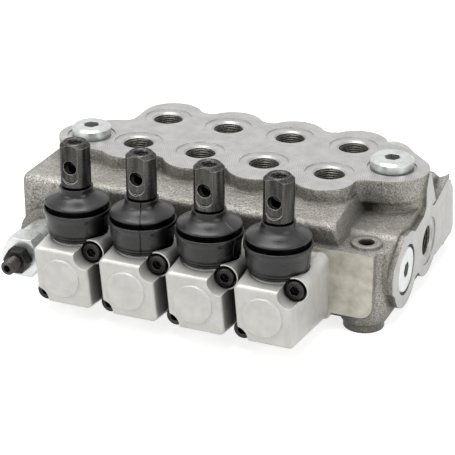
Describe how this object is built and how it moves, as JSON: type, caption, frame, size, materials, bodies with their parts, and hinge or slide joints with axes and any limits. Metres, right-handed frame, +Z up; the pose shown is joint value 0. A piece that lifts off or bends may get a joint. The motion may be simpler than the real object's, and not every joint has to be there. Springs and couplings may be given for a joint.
{
  "type": "hydraulic directional control valve",
  "caption": "Monoblock hydraulic directional control valve: lever-worked spools in a cast body with threaded ports on its deck, an adjustable relief valve and spring-centred spool caps",
  "frame": {"origin": "centre of the bounding box's base, under the feet", "axes": "X along the row of levers, Y from the levers to the spring caps, Z up"},
  "size_m": [0.215, 0.224, 0.096],
  "materials": {
    "cast_iron": "matte",
    "die_cast_aluminium": "satin",
    "blackened_steel": "satin",
    "boot_rubber": "matte",
    "seal_rubber": "matte",
    "black_screw_steel": "satin",
    "zinc_plated_steel": "satin",
    "washer_steel": "satin",
    "cap_aluminium": "satin",
    "ground_steel": "polished",
    "bearing_plastic": "matte",
    "turned_steel": "satin",
    "spring_steel": "satin"
  },
  "bodies": {
    "housing": {"valve_body": "cast_iron", "box_screws": "black_screw_steel", "cap_screws": "zinc_plated_steel", "spool_wipers": "seal_rubber", "ball_seats": "bearing_plastic", "ball_retainers": "bearing_plastic", "plug_washers": "washer_steel", "left_deck_plug": "zinc_plated_steel", "right_deck_plug": "zinc_plated_steel", "side_plug": "zinc_plated_steel", "relief_cartridge": "zinc_plated_steel", "relief_nut": "black_screw_steel", "relief_screw": "black_screw_steel", "relief_plunger": "turned_steel", "relief_spring": "spring_steel", "check_spring": "spring_steel", "lever_box_1": "die_cast_aluminium", "boot_1": "boot_rubber", "spring_cap_1": "cap_aluminium", "lever_box_2": "die_cast_aluminium", "boot_2": "boot_rubber", "spring_cap_2": "cap_aluminium", "lever_box_3": "die_cast_aluminium", "boot_3": "boot_rubber", "spring_cap_3": "cap_aluminium", "lever_box_4": "die_cast_aluminium", "boot_4": "boot_rubber", "spring_cap_4": "cap_aluminium"},
    "spool_pack_1": {"spool_1": "ground_steel", "front_seat_1": "turned_steel", "rear_seat_1": "turned_steel", "centring_spring_1": "spring_steel", "end_bolt_1": "zinc_plated_steel"},
    "lever_arm_1": {"lever_1": "blackened_steel"},
    "spool_pack_2": {"spool_2": "ground_steel", "front_seat_2": "turned_steel", "rear_seat_2": "turned_steel", "centring_spring_2": "spring_steel", "end_bolt_2": "zinc_plated_steel"},
    "lever_arm_2": {"lever_2": "blackened_steel"},
    "spool_pack_3": {"spool_3": "ground_steel", "front_seat_3": "turned_steel", "rear_seat_3": "turned_steel", "centring_spring_3": "spring_steel", "end_bolt_3": "zinc_plated_steel"},
    "lever_arm_3": {"lever_3": "blackened_steel"},
    "spool_pack_4": {"spool_4": "ground_steel", "front_seat_4": "turned_steel", "rear_seat_4": "turned_steel", "centring_spring_4": "spring_steel", "end_bolt_4": "zinc_plated_steel"},
    "lever_arm_4": {"lever_4": "blackened_steel"},
    "relief_poppet": {"relief_poppet": "turned_steel"},
    "check_poppet": {"check_poppet": "turned_steel"}
  },
  "joints": [
    {"name": "lever_tilt_1", "type": "hinge", "parent": "housing", "child": "lever_arm_1", "pos_m": [-0.057, -0.0895, 0.046], "axis": [1, 0, 0], "range_deg": [-17, 17], "deforming": ["boot_1"]},
    {"name": "spool_slide_1", "type": "slide", "parent": "housing", "child": "spool_pack_1", "axis": [0, 1, 0], "range_m": [-0.00594, 0.00594]},
    {"name": "lever_tilt_2", "type": "hinge", "parent": "housing", "child": "lever_arm_2", "pos_m": [-0.019, -0.0895, 0.046], "axis": [1, 0, 0], "range_deg": [-17, 17], "deforming": ["boot_2"]},
    {"name": "spool_slide_2", "type": "slide", "parent": "housing", "child": "spool_pack_2", "axis": [0, 1, 0], "range_m": [-0.00594, 0.00594]},
    {"name": "lever_tilt_3", "type": "hinge", "parent": "housing", "child": "lever_arm_3", "pos_m": [0.019, -0.0895, 0.046], "axis": [1, 0, 0], "range_deg": [-17, 17], "deforming": ["boot_3"]},
    {"name": "spool_slide_3", "type": "slide", "parent": "housing", "child": "spool_pack_3", "axis": [0, 1, 0], "range_m": [-0.00594, 0.00594]},
    {"name": "lever_tilt_4", "type": "hinge", "parent": "housing", "child": "lever_arm_4", "pos_m": [0.057, -0.0895, 0.046], "axis": [1, 0, 0], "range_deg": [-17, 17], "deforming": ["boot_4"]},
    {"name": "spool_slide_4", "type": "slide", "parent": "housing", "child": "spool_pack_4", "axis": [0, 1, 0], "range_m": [-0.00594, 0.00594]},
    {"name": "relief_lift", "type": "slide", "parent": "housing", "child": "relief_poppet", "axis": [0, -1, 0], "range_m": [0, 0.0015], "deforming": ["relief_spring"]},
    {"name": "check_lift", "type": "slide", "parent": "housing", "child": "check_poppet", "axis": [0, 0, 1], "range_m": [0, 0.0025], "deforming": ["check_spring"]}
  ],
  "couplings": [
    {"joint": "spool_slide_1", "follows": "lever_tilt_1", "m_per_rad": 0.02},
    {"joint": "spool_slide_2", "follows": "lever_tilt_2", "m_per_rad": 0.02},
    {"joint": "spool_slide_3", "follows": "lever_tilt_3", "m_per_rad": 0.02},
    {"joint": "spool_slide_4", "follows": "lever_tilt_4", "m_per_rad": 0.02}
  ]
}
